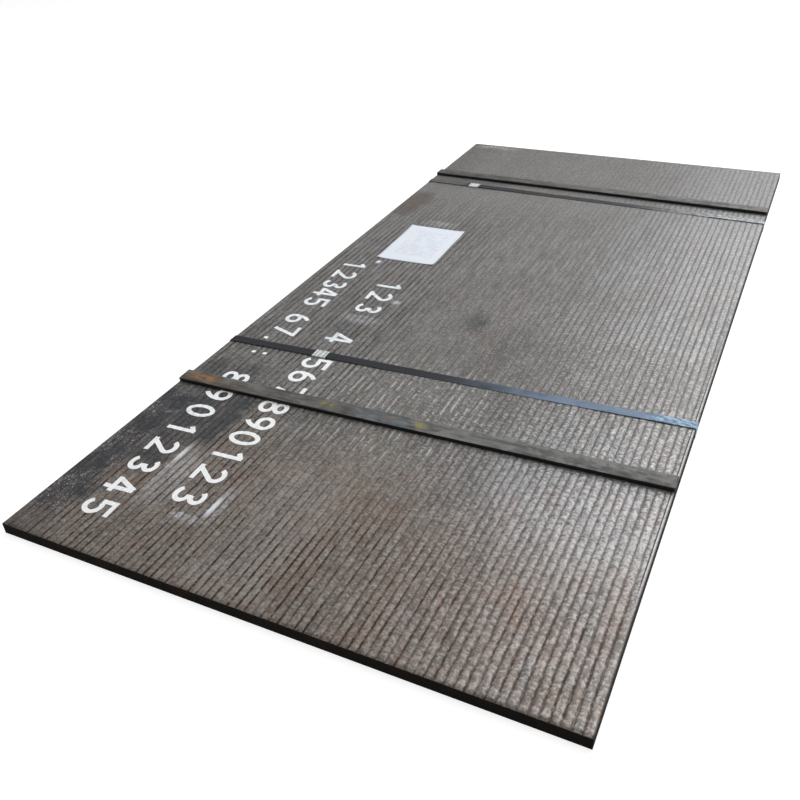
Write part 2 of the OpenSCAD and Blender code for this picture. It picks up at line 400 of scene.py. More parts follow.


# weld beads: grey, browner to the front and bare to the right with a painted sheen, mottled by ripples across
# each bead, partly as painted shade and highlight, with dark lines in the grooves, partly painted shade;
# rust, glints, stains and white spray lie over them
def overlayFinish():
    f = Finish("overlaySteel")
    where, x, y, _ = f.place()
    bead, along, _ = f.attribute("beadMap")
    share = bead.fract()
    order = bead.floor()
    toGroove = 0.5 - abs(share - 0.5)  # 0 in the groove, 0.5 on the crown
    # ripples lie across each bead as shallow bows, out of step from bead to bead
    bow = (share - 0.5) * (share - 0.5)
    ripple = f.noise(f.point(share * 1.5, along * 125 + bow * 2, order * 7.31))
    coarse = f.noise(f.point(bead * 1.1, along * 38, order * 3.17))
    streak = f.noise(f.point(bead * 2.3, along * 19, order * 1.7))
    grain = f.noise(where, 150, 3.0, 0.7)
    speck = f.noise(where, 330, 1.0, 0.5)
    cloud = f.noise(where, 3.1, 3.0, 0.55)
    blotch = f.noise(where, 14, 3.0)
    # each bead and each groove has its own slow changes along the plate
    groove = (bead + 0.5).floor()
    beadTone = f.noise(f.point(order * 3.7, along * 3.3, 1.5))
    beadTint = f.noise(f.point(order * 5.9, along * 2.4, 7.5))
    grooveTone = f.noise(f.point(groove * 4.3, along * 8, 2.5))
    pits = f.noise(f.point(groove * 6.7, along * 95, 4.5), 1.0, 1.0, 0.5)
    drift = (blotch - 0.5) * 0.10 + (grain - 0.5) * 0.03
    # zones: the front is brown and scored by its grooves, the right is bare with a painted sheen, the left
    # striped
    front = f.rise(0 - y + (cloud - 0.5) * 0.7, 0.70, 1.15)
    right = f.rise(x + (cloud - 0.5) * 0.25, 0.00, 0.58)
    back = f.rise(y, 0.30, 0.95)
    near = f.rise(0 - y, 0.40, 0.72)
    striped = (1 - f.rise(x + (cloud - 0.5) * 0.2, -0.36, -0.06)) * (1 - front) * (1 - back)
    scored = f.rise(0 - y - 0.26 * f.rise(x, -0.42, -0.12) + (cloud - 0.5) * 0.25, 0.74, 1.06)
    # painted sheen: a pale patch at the right front and the lightening to the right stand for reflected light
    sheen = f.within(x + (cloud - 0.5) * 0.2, 0.26, 0.80, 0.14) * f.within(y, -1.08, -0.70, 0.12)
    bareAndSheen = right * (1 - 0.60 * f.rise(0 - y, 1.0, 1.45)) + 1.3 * sheen
    plain, shade, pale = 0.70 * f.rise(y, 0.50, 1.15) * (1 - 0.6 * f.rise(x, 0.05, 0.45)), 0, 0
    for spot in patches:
        mark = f.patch(x + drift * 2, y + drift * 2, spot)
        plain = plain.atLeast(mark * spot.get("smooth", 0))
        shade = shade + mark * spot.get("shade", 0)
        pale = pale + mark * spot.get("pale", 0)
    # grooves: thin dark lines broken by pits, partly rust in them and partly painted shade, with a wide soft
    # band of painted shade to the right, none at the two rims
    inner = f.within(bead, 0.4, plate["beads"] - 0.4, 0.05) * (1 - plain)
    jag = (grain - 0.5) * 0.20 + (ripple - 0.5) * 0.10
    lineWidth = 0.11 + 0.12 * scored * (1 - 0.5 * right) + 0.05 * striped
    line = (1 - f.rise(toGroove + jag, 0.01, lineWidth)) * inner
    kept = scored.atLeast(0.8 * striped) * (1 - 0.6 * right)
    whole = f.rise(pits * 0.6 + grain * 0.4, 0.40 - 0.08 * kept, 0.56 - 0.06 * kept)
    plainLine = f.rise(grooveTone, 0.36, 0.60)
    whole = whole * (0.45 + 0.70 * plainLine)
    grooveShadeBand = 1 - f.rise(toGroove + jag, 0.02, 0.36 + 0.10 * back)
    grooveShadeBand = grooveShadeBand * inner * (0.12 + 0.16 * plainLine)
    shadeBandWeight = 1 - (0.30 - 0.10 * back) * f.rise(x, 0.30, 0.60)
    shadeBandWeight = f.rise(x + (cloud - 0.5) * 0.25, -0.10, 0.30) * shadeBandWeight * (1 + 0.7 * back - 0.5 * front)
    grooveDarkAndShade = (0.30 - 0.26 * right) * (1 - back) + 0.78 * striped + (0.68 + 0.10 * right) * scored
    grooveDarkAndShade = (line * whole * grooveDarkAndShade).atLeast(grooveShadeBand * shadeBandWeight.atLeast(1.5 * striped)).atMost(1.0)
    # colour: grey, browner to the front, each bead a little pinker or greener, mottled by the ripples
    uneven = 1 - 0.7 * back
    grey = cloud * 0.8 + 0.35 * blotch - 0.40 * front + 0.30 * right + (beadTone - 0.5) * 0.5 * uneven
    grey = f.rise(grey, 0.30, 0.74)
    f.tone = f.mix(grey, f.mix(front, overlay["drab"], overlay["brown"]), overlay["grey"])
    # bare steel to the right, made paler by the painted sheen of reflected light
    f.lay((bareAndSheen * 0.22).atMost(0.9), overlay["bare"])
    f.lay(shade, overlay["dark"])
    f.lay(pale, overlay["light"])
    f.lay(0.32 * f.rise(0 - y, 0.95, 1.30) * f.rise(x, -0.05, 0.25), overlay["warm"])
    tint = beadTint * 0.6 + blotch * 0.4
    tinted = (0.26 + 0.10 * near) * (1 - 0.7 * back)
    f.lay(f.rise(tint, 0.51, 0.62) * tinted, overlay["pink"])
    green = f.mix(right, overlay["olive"], overlay["cool"])
    f.lay((1 - f.rise(tint, 0.38, 0.49)) * tinted, green)
    f.lay((1 - f.rise(streak, 0.36, 0.50)) * 0.26 * uneven, overlay["dark"])
    f.lay(f.rise(streak, 0.50, 0.64) * 0.18 * uneven, overlay["light"])
    f.lay((1 - f.rise(beadTone, 0.34, 0.52)) * 0.28 * uneven, overlay["dark"])
    bare = right * (1 - 0.5 * front)
    mottle = ripple * (0.30 + 0.30 * bare) + coarse * 0.12 + grain * (0.58 - 0.30 * bare)
    strong = 0.62 + 0.28 * f.rise(0 - y, -0.25, 0.20) + near * (0.20 + 0.32 * f.rise(x, -0.10, 0.25))
    # the mottle follows the ripples' relief: darker in its hollows, lighter on its lumps, partly painted
    # shade and highlight
    hollowShadeColour = f.mix(bare, overlay["dark"], overlay["soft"])
    hollowToneAndShade = 1 - f.rise(mottle, 0.37 - 0.05 * bare, 0.51 + 0.05 * bare)
    f.lay((hollowToneAndShade * strong * (0.62 + 0.20 * bare)).atMost(1.0), hollowShadeColour)
    lumpToneAndHighlight = f.rise(mottle, 0.49 - 0.02 * bare, 0.64 - 0.06 * bare)
    f.lay((lumpToneAndHighlight * strong * (0.46 - 0.06 * bare)).atMost(1.0), overlay["light"])
    rustHere = f.rise(blotch * 0.5 + cloud * 0.2 + grooveTone * 0.3, 0.50, 0.60) * f.rise(0 - y, 0.80, 1.25)
    f.lay(rustHere * (0.15 + 1.10 * grooveShadeBand), overlay["rust"])
    deep = f.mix(right * front, overlay["groove"], overlay["redGroove"])
    deep = f.mix(right * (1 - 0.8 * front), deep, overlay["paintedGrooveShade"])
    # the grooves darkened: partly rust in them, partly painted shade
    f.lay(grooveDarkAndShade, deep)
    # glints: thin streaks along the crowns in the middle, round spots on the ripples to the right
    crownOnly = f.rise(toGroove, 0.35, 0.46)
    middle = f.within(x, -0.30, 0.20, 0.10) * f.within(y, -0.93, -0.50, 0.08)
    streaks = f.rise(streak * 0.70 + ripple * 0.16 + grain * 0.14, 0.50, 0.555) * crownOnly * middle
    spots = f.rise(speck * 0.5 + ripple * 0.2 + grain * 0.3, 0.53, 0.62) * f.rise(toGroove, 0.14, 0.34)
    spots = spots * f.rise(x, 0.08, 0.42) * f.within(y, -1.00, 0.75, 0.25)
    shine = (streaks * 0.75).atLeast(spots * 0.65)
    f.lay(shine * 0.80, overlay["glint"])
    # a dark line of painted shade along the right rim; from before the front bar to the middle, a pale strip
    # of painted highlight inside it
    rimLineReach = f.rise(y, -1.20, -1.05) * (1 - f.rise(y, -0.5, 0.2))
    rimShade = f.rise(x + (grain - 0.5) * 0.004, 0.6950, 0.6995)
    rimShade = rimShade.atLeast(f.within(x, 0.6908, 0.6935, 0.0007) * rimLineReach)
    f.lay(rimShade * 0.85, overlay["groove"])
    strip = f.within(x, 0.6938, 0.6982, 0.0006) * f.rise(grain, 0.36, 0.50)
    f.lay(strip * 0.8 * rimLineReach, overlay["light"])
    stain = stainShare(f, x, y, drift, grain * 0.4 + blotch * 0.6)
    f.lay(stain, overlay["stain"])
    brown = f.patch(x + drift, y + drift * 2, brownStain) * brownStain["share"]
    f.lay(brown, overlay["brownStain"])
    spray = sprayShare(f, x, y, toGroove, grain, speck, blotch, drift)
    f.lay(spray, overlay["spray"])
    rough = 0.60 - 0.18 * right - 0.14 * shine + 0.26 * (grain - 0.5) + 0.15 * grooveDarkAndShade + 0.25 * rimShade
    metal = (0.30 + 0.38 * right + 0.25 * shine) * (1 - spray) * (1 - 0.8 * grooveDarkAndShade)
    metal = metal * (1 - 0.5 * stain) * (1 - rimShade)
    height = ripple * (0.50 + 0.25 * bare) + coarse * 0.40 + grain * (0.55 - 0.30 * bare) - line * 0.40
    f.surface(Base_Color=f.tone, Roughness=rough, Metallic=metal, Specular_IOR_Level=0.35,
              Normal=f.bump(height, overlay["relief"]))
    return f


# the cut edges' colours: black scale made darker by painted shade, and rust
shadedCutEdge = {"scale": (0.0075, 0.0068, 0.0060), "rust": (0.024, 0.013, 0.008), "relief": 0.6 * mm}


# black scale with upright drag lines from the cut and a little rust; the scale is laid darker still as
# painted shade of the faces turned from the lamps
def shadedCutEdgeFinish():
    f = Finish("shadedCutEdge")
    where, x, y, z = f.place()
    drag = f.noise(f.point(x * 420, y * 420, z * 14), rough=0.5)
    blotch = f.noise(where, 14, 3.0)
    f.tone = f.mix(f.rise(drag * 0.5 + blotch * 0.5, 0.50, 0.68), shadedCutEdge["scale"], shadedCutEdge["rust"])
    f.surface(Base_Color=f.tone, Roughness=0.75 + 0.2 * drag, Specular_IOR_Level=0.06,
              Normal=f.bump(drag, shadedCutEdge["relief"]))
    return f


overlayPlate = buildPlate([overlayFinish(), shadedCutEdgeFinish()])
print("plate:", len(overlayPlate.data.polygons), "faces")

stencil = {
    "stroke": 13.3 * mm, "lift": 0.14 * mm, "sink": 0.35 * mm, "step": 2.4 * mm, "across": 7,
    "stack": 0.3,  # each further stroke of a digit lies this share of the lift higher
    "paint": (0.97, 0.99, 1.00), "hazy": (0.66, 0.73, 0.80), "worn": (0.20, 0.19, 0.18),
    "relief": 0.4 * mm,
}
stencilRows = [  # start of the row on the plate, its lean, digit size; then digit, start along the row, wear
    {"x": -0.639, "y": 0.071, "lean": 0.0475, "high": 0.086, "wide": 0.056, "signs": [
        ("1", 0.003, 0.35), ("2", 0.085, 0.35), ("3", 0.164, 0.30), ("4", 0.231, 0.25), ("5", 0.305, 0.30),
        ("6", 0.430, 0.25), ("7", 0.509, 0.20), (".", 0.592, 0.10), (":", 0.680, 0.0), ("8", 0.806, 0.15),
        ("9", 0.897, 0.1), ("0", 0.985, 0.15), ("1", 1.072, 0.1), ("2", 1.155, 0.0), ("3", 1.237, 0.05),
        ("4", 1.326, 0.05), ("5", 1.412, 0.0)]},
    {"x": -0.446, "y": -0.037, "lean": 0.0430, "high": 0.089, "wide": 0.058, "signs": [
        ("1", 0.004, 0.30), ("2", 0.084, 0.30), ("3", 0.174, 0.30), ("4", 0.383, 0.30), ("5", 0.543, 0.05),
        ("6", 0.622, 0.0), ("7", 0.702, 0.05), ("8", 0.786, 0.05), ("9", 0.862, 0.0), ("0", 0.937, 0.05),
        ("1", 1.015, 0.05), ("2", 1.096, 0.0), ("3", 1.183, 0.0)]},
]


# points along an ellipse's arc, from one angle to another in degrees
def arc(cx, cy, rx, ry, start, stop, count=40):
    turn = np.radians(np.linspace(start, stop, count))
    return together(cx + rx * np.cos(turn), cy + ry * np.sin(turn))


# a line straight from corner to corner
def run(*corners):
    return np.array(corners, float)


# each digit is a few centre lines in a box that is 1 high and wide across; a line whose ends meet is closed
def digitLines(sign, wide, stroke):
    h = stroke / 2
    left, right, top, low, mid = h, wide - h, 1 - h, h, wide / 2
    rx = mid - h
    if sign == "0":
        return [arc(mid, 0.5, rx, 0.5 - h, 0, 360, 64)]
    if sign == "1":
        return [run((mid * 1.15, 0), (mid * 1.15, 1)),
                run((mid * 0.45, 0.77), (mid * 1.15, 1 - h * 0.8))]
    if sign == "2":
        bowl = arc(mid, 0.71, rx, 0.29 - h, 165, -35)
        return [np.vstack([bowl, run((left + h * 0.6, low))]), run((0, low), (wide, low))]
    if sign == "3":
        return [arc(mid, 0.745, rx * 0.92, 0.255 - h, 150, -95),
                arc(mid, 0.275, rx, 0.275 - h, 95, -152)]
    if sign == "4":
        return [run((mid * 1.25, 1), (left * 0.9, 0.30)), run((0, 0.30), (wide, 0.30)),
                run((mid * 1.40, 0), (mid * 1.40, 1))]
    if sign == "5":
        return [run((left, top), (wide - h * 0.5, top)), run((left, 0.47), (left, 1)),
                arc(mid * 0.96, 0.325, rx, 0.325 - h, 128, -150)]
    if sign in "69":
        loop = arc(mid, 0.31, rx, 0.31 - h, 0, 360, 56)
        tail = arc(mid + rx * 0.75, 0.33, rx * 1.75, 0.63, 178, 112, 30)
        if sign == "9":
            loop, tail = (wide, 1) - loop, (wide, 1) - tail
        return [loop, tail]
    if sign == "7":
        return [run((0, top), (wide, top)), run((right, top), (mid * 0.75, 0))]
    if sign == "8":
        return [arc(mid, 0.745, rx * 0.86, 0.255 - h, 0, 360, 48),
                arc(mid, 0.275, rx, 0.275 - h, 0, 360, 56)]
    dot = run((0, h * 0.9), (h * 1.8, h * 0.9))
    return [dot] if sign == "." else [dot + (0, 0.10), dot + (0, 0.54)]


# a line drawn again with points an even step apart
def evenly(line, step, closed):
    length = np.append(0, np.cumsum(np.hypot(*np.diff(line, axis=0).T)))
    count = max(3, int(round(length[-1] / step)))
    at = np.linspace(0, length[-1], count + 1)
    at = at[:-1] if closed else at
    return np.stack([np.interp(at, length, line[:, i]) for i in (0, 1)], -1)


# a stroke of paint: the line widened to both sides, laid on the plate's top a film's height above it,
# with an underside a little lower down, closed all round
def paintStroke(line, closed, lift, start):
    if closed:
        ahead = np.roll(line, -1, 0) - np.roll(line, 1, 0)
    else:
        ahead = np.gradient(line, axis=0)
    ahead /= np.hypot(*ahead.T)[:, None]
    sideways = together(-ahead[:, 1], ahead[:, 0])
    spread = np.linspace(0.5, -0.5, stencil["across"]) * stencil["stroke"]
    flat = line[:, None] + sideways[:, None] * spread[:, None]
    z, height = plateTop(flat[..., 0], flat[..., 1])
    upper = np.dstack([flat, z + lift])
    lower = np.dstack([flat, z - stencil["sink"]])[:, ::-1]
    ring = np.hstack([upper, lower])  # one closed loop of points round the stroke
    heights = np.hstack([height, height[:, ::-1]])
    return ring.reshape(-1, 3), sweepFaces(*ring.shape[:2], start, closed), heights.ravel()


# each digit's lines, scaled to its size, set along the leaning row, drawn again evenly and laid as strokes
def buildStencil(finish):
    points, faces, wear = [], [], []
    total = 0
    for row in stencilRows:
        reading = np.array([np.sin(row["lean"]), -np.cos(row["lean"])])
        upward = np.array([np.cos(row["lean"]), np.sin(row["lean"])])
        high, wide = row["high"], row["wide"]
        for sign, start, worn in row["signs"]:
            for n, line in enumerate(digitLines(sign, wide / high, stencil["stroke"] / high)):
                closed = np.allclose(line[0], line[-1])
                spot = line * high
                spot[:, 0] += start
                flat = np.array([row["x"], row["y"]]) + spot[:, :1] * reading + spot[:, 1:] * upward
                flat = evenly(flat, stencil["step"], closed)
                lift = stencil["lift"] * (1 + stencil["stack"] * n)
                ring, quads, height = paintStroke(flat, closed, lift, total)
                points.append(ring)
                faces += quads
                wear.append(together(height, worn, 0))
                total += len(ring)
    return makePiece("stencilDigits", np.vstack(points), faces, [finish],
                     attributes={"wear": np.vstack(wear)}, smooth=False)


# white paint, hazy where it is thin and gone where it is thinnest: in worn digits, grooves and flecks
def paintFinish():
    f = Finish("stencilPaint")
    where = f.place()[0]
    height, worn, _ = f.attribute("wear")
    flecks = f.noise(where, 260, 3.0)
    cloud = f.noise(where, 46, rough=0.5)
    thin = worn * 0.8 + (1 - height) * 0.26 + (flecks - 0.5) * 0.9 + (cloud - 0.5) * 0.9
    bare = f.rise(thin, 0.46, 0.84)
    f.tone = f.mix(f.rise(thin, 0.12, 0.55) * 0.8, stencil["paint"], stencil["hazy"])
    f.lay(bare, stencil["worn"])
    f.surface(Base_Color=f.tone, Roughness=0.55 - 0.1 * bare, Normal=f.bump(flecks, stencil["relief"]))
    return f


stencilDigits = buildStencil(paintFinish())
print("stencil:", len(stencilDigits.data.polygons), "faces")

straps = {
    "width": 32 * mm, "thick": 0.9 * mm, "top": 33.6 * mm, "halfLoop": 0.7012, "bend": 2.6 * mm,
    "span": 1.4, "bevel": 0.2 * mm, "topSteps": 260, "lowSteps": 60, "cornerSteps": 7,
    "tail": 96 * mm, "tailSteps": 30, "tailFlat": 30 * mm, "tailBend": 18 * mm, "tailDip": 0.5 * mm,
    # slack of the top run: its waves, where it is tight, where it settles on the crowns, its crease
    "waveLengths": [0.31, 0.13, 0.057], "waves": [0.16 * mm, 0.14 * mm, 0.10 * mm], "edge": 4 * mm,
    "sealReach": (0.05, 0.17), "endReach": (0, 0.05),
    "settleFrom": (-0.30, -0.12), "settleTo": (0.42, 0.56), "settle": 1.4 * mm,
    "kink": 0.75 * mm, "kinkTurn": 620, "kinkReach": 0.03,
    "front": {"y": -0.541, "skew": 0.056, "sealX": -0.387, "seed": 21, "crease": 0.62},
    "back": {"y": 0.929, "skew": -0.034, "sealX": -0.487, "seed": 22, "crease": 0.66},
    "blue": (0.170, 0.228, 0.315), "grey": (0.200, 0.215, 0.230), "black": (0.017, 0.018, 0.024),
    "scuff": (0.37, 0.52, 0.63), "dust": (0.118, 0.117, 0.114), "bruise": (0.105, 0.165, 0.265),
    "pale": (0.58, 0.61, 0.63), "relief": 0.4 * mm,
}


# the loop's outside: along the top from left to right, round each corner in an arc, down, back below and up
def strapPath():
    half, high, bend = straps["halfLoop"], straps["top"], straps["bend"]
    side = half - bend
    turn = np.radians(np.linspace(90, 0, straps["cornerSteps"]))
    corner = together(np.cos(turn), np.sin(turn)) * bend
    topX = np.linspace(-side, side, straps["topSteps"])
    lowX = np.linspace(side, -side, straps["lowSteps"])
    pieces = [
        together(topX, high)[:-1], (side, high - bend) + corner,
        (side, bend) + corner[::-1] * (1, -1), together(lowX, 0)[1:-1],
        (-side, bend) + corner * (-1, -1), (-side, high - bend) + corner[::-1] * (-1, 1),
    ]
    return np.vstack(pieces)[:-1]


# a strip's section, a flat rectangle with small bevels, carried along a path in the XZ plane;
# y follows the skew, and the path's inward normal gives the thickness
def stripAlong(path, closed, strap, lift, start=0):
    thick, half, bevel = straps["thick"], straps["width"] / 2, straps["bevel"]
    side = np.array([(half - bevel, thick), (half, thick - bevel), (half, bevel), (half - bevel, 0)])
    section = np.vstack([side, side[::-1] * (-1, 1)])
    ahead = np.roll(path, -1, 0) - np.roll(path, 1, 0) if closed else np.gradient(path, axis=0)
    ahead /= np.hypot(*ahead.T)[:, None]
    inward = together(ahead[:, 1], -ahead[:, 0])
    flat = path[:, None] + inward[:, None] * section[:, 1, None]
    y = strap["y"] + strap["skew"] * path[:, :1] / straps["span"] + section[:, 0]
    tilt = section[:, 0] / straps["width"]
    points = together(flat[..., 0], y, flat[..., 1] + lift[:, :1] + lift[:, 1:] * tilt)
    return points.reshape(-1, 3), sweepFaces(len(path), len(section), start, closed)


# the strap's slack: tight at its seal and over the edges, settled on the crowns between, with long waves and,
# across its width, a tilt that swings quickly at the crease
def strapSlack(path, strap):
    x = path[:, 0]
    onTop = np.clip((path[:, 1] - straps["top"] + straps["edge"]) / straps["edge"], 0, 1)
    away = smoothStep(np.abs(x - strap["sealX"]), *straps["sealReach"])
    away = away * smoothStep(straps["halfLoop"] - np.abs(x), *straps["endReach"])
    settled = smoothStep(x, *straps["settleFrom"]) * (1 - smoothStep(x, *straps["settleTo"]))
    wave = waves(x, straps["waveLengths"], straps["waves"], 2, strap["seed"])
    kink = straps["kink"] * np.sin(x * straps["kinkTurn"])
    kink = kink * np.exp(-((x - strap["crease"]) / straps["kinkReach"]) ** 2)
    lift = together(wave[:, 0] - straps["settle"] * settled, wave[:, 1] * 2 + kink)
    return lift * (onTop * away)[:, None]


# a closed strip round the loop, and on it an open strip for the end under the seal, which dips at its end
def buildStrap(name, strap, finish, node):
    loop = strapPath()
    points, faces = stripAlong(loop, True, strap, strapSlack(loop, strap))
    half = straps["tail"] / 2
    x = np.linspace(strap["sealX"] - half, strap["sealX"] + half, straps["tailSteps"])
    tail = together(x, straps["top"] + straps["thick"])
    past = np.clip((x - strap["sealX"] - straps["tailFlat"]) / straps["tailBend"], 0, 1)
    dip = together(-straps["tailDip"] * past ** 2, 0)
    tailPoints, tailFaces = stripAlong(tail, False, strap, dip, len(points))
    points, faces = np.vstack([points, tailPoints]), faces + tailFaces
    return makePiece(name, points, faces, [finish], [node], False)


# black on the left, grey-blue to the right as a painted reflection of the sky, pale scuffs at the right end;
# dust on the back strap left of its seal
def strapFinish():
    f = Finish("bluedStrap")
    where, x, y, z = f.place()
    streak = f.noise(f.point(x * 9, y * 700, z * 60), detail=3.0)
    cloud = f.noise(where, 11, 3.0)
    scuff = f.noise(f.point(x * 55 + y * 40, y * 80, z * 30), detail=3.0)
    back = f.rise(y, 0, 0.1)
    # the grey-blue to the right is a painted reflection of the sky
    thin = f.rise(x - 0.05 - 0.18 * back + (cloud - 0.5) * 0.24 + (streak - 0.5) * 0.12, -0.10, 0.42)
    blue = f.mix(back, straps["blue"], straps["grey"])
    f.tone = f.mix(thin, straps["black"], blue)
    f.lay((1 - f.rise(cloud * 0.6 + streak * 0.4, 0.38, 0.56)) * 0.45, straps["black"])
    dusty = back * (1 - f.rise(x, -0.545, -0.505)) * f.rise(streak * 0.5 + cloud * 0.5, 0.30, 0.52)
    f.lay(dusty * 0.85, straps["dust"])
    end = f.rise(x + (cloud - 0.5) * 0.1, 0.555 - 0.35 * back, 0.615)
    worn = f.rise(scuff, 0.43, 0.58) * end * (0.78 - 0.06 * back)
    f.lay(end * 0.6 * (1 - back), straps["bruise"])
    f.lay(worn, f.mix(back, straps["scuff"], straps["pale"]))
    rough = 0.42 + 0.20 * cloud + 0.10 * worn
    f.surface(Base_Color=f.tone, Roughness=rough, Metallic=0.45 * thin, Specular_IOR_Level=0.30,
              Normal=f.bump(streak * 0.5 + cloud, straps["relief"]))
    return f


bluedStrap = strapFinish()
frontStrap = buildStrap("frontStrap", straps["front"], bluedStrap, "front_strap")
backStrap = buildStrap("backStrap", straps["back"], bluedStrap, "back_strap")
print("straps:", len(frontStrap.data.polygons), "faces each")

galvanised = {
    "zinc": (0.62, 0.66, 0.64), "pale": (0.88, 0.92, 0.90), "crimpAndMarkDark": (0.10, 0.12, 0.11),
    "crimpStep": 43 / 3 * mm, "relief": 0.4 * mm,
}


# zinc spangles, darker in the crimps, dark grime on slanting marks from the crimping tool, pale ridges
# between
def sealFinish():
    f = Finish("crimpedZinc")
    where, x, y, z = f.place()
    spangle = f.add("ShaderNodeTexVoronoi", {"feature": "F1"}, {"Vector": where, "Scale": 240}, "Color")
    grey = f.axes(spangle)[0]
    lines = f.noise(f.point(x * 90 + y * 260, y * 30, z * 30))
    front, rear = straps["front"]["sealX"], straps["back"]["sealX"]
    middle = front + (rear - front) * f.rise(y, 0, 0.1)
    crimp = f.within(((x - middle) / galvanised["crimpStep"] + 0.5).fract(), 0.36, 0.64, 0.10)
    f.tone = f.mix(grey, galvanised["zinc"], galvanised["pale"])
    f.lay(crimp * (0.35 + 0.4 * lines), galvanised["crimpAndMarkDark"])
    f.lay(f.rise(lines, 0.58, 0.72) * 0.6, galvanised["crimpAndMarkDark"])
    f.surface(Base_Color=f.tone, Roughness=0.40 + 0.2 * lines, Metallic=0.40,
              Normal=f.bump(lines, galvanised["relief"]))
    return f


crimpedZinc = sealFinish()
for name in ("front_seal", "back_seal"):
    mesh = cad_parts[name].data
    mesh.materials.clear()
    mesh.materials.append(crimpedZinc.material)
print("seals: galvanised")

bars = {
    "wide": 50 * mm, "high": 12 * mm, "round": 1.2 * mm, "seat": 31.1 * mm, "span": 1.4,
    "sections": 200, "cornerSteps": 5, "drawn": 0.5 * mm,
    "waveLengths": [0.47, 0.21, 0.083], "waves": [0.20 * mm, 0.15 * mm, 0.12 * mm],
    "front": {"y": -0.793, "skew": 0.040, "seed": 31}, "back": {"y": 1.032, "skew": -0.025, "seed": 32},
    "scale": (0.130, 0.125, 0.116), "pale": (0.182, 0.181, 0.178), "worn": (0.228, 0.227, 0.222),
    "dark": (0.030, 0.028, 0.026), "brown": (0.108, 0.082, 0.056), "slate": (0.128, 0.150, 0.166),
    "orange": (0.330, 0.170, 0.055), "yellow": (0.300, 0.265, 0.060), "paintedShadeSide": (0.015, 0.014, 0.013),
    "slateAt": (-0.130, 0.030), "rustAt": (-0.665, -0.585), "dashAt": (-0.052, -0.028),
    "dashAcross": (0.004, 0.010),
    "yellowAt": [(-0.245, -0.210, 0.012), (0.035, 0.065, 0.010)],  # from, to, softness
    "relief": 0.8 * mm,
}


# a rounded rectangle's outline, standing on its lower side
def barSection():
    half, high, r = bars["wide"] / 2, bars["high"], bars["round"]
    turn = np.radians(np.linspace(0, 90, bars["cornerSteps"]))
    corner = together(np.cos(turn), np.sin(turn)) * r
    return np.vstack([(half - r, high - r) + corner, (-half + r, high - r) + corner[::-1] * (-1, 1),
                      (-half + r, r) - corner, (half - r, r) + corner[::-1] * (1, -1)])


# the section carried straight along the bar, its sides and top drawn in a little by long random waves
def buildBar(name, bar, finish, node):
    turn = np.arctan(bar["skew"] / bars["span"])
    length = (bars["span"] - bars["wide"] * abs(np.sin(turn))) / np.cos(turn)
    section = barSection()
    s = np.linspace(-length / 2, length / 2, bars["sections"])
    drawn = bars["drawn"] + waves(s, bars["waveLengths"], bars["waves"], 2, bar["seed"])
    wide = 1 - drawn[:, :1] / bars["wide"]
    high = 1 - drawn[:, 1:] / bars["high"] * 0.5
    across, up = section[:, 0] * wide, bars["seat"] + section[:, 1] * high
    x = s[:, None] * np.cos(turn) - across * np.sin(turn)
    y = bar["y"] + s[:, None] * np.sin(turn) + across * np.cos(turn)
    points = together(x, y, up).reshape(-1, 3)
    faces = sweepFaces(len(s), len(section))
    smooth = np.arange(len(faces)) < len(faces) - 2
    return makePiece(name, points, faces, [finish], [node], smooth)


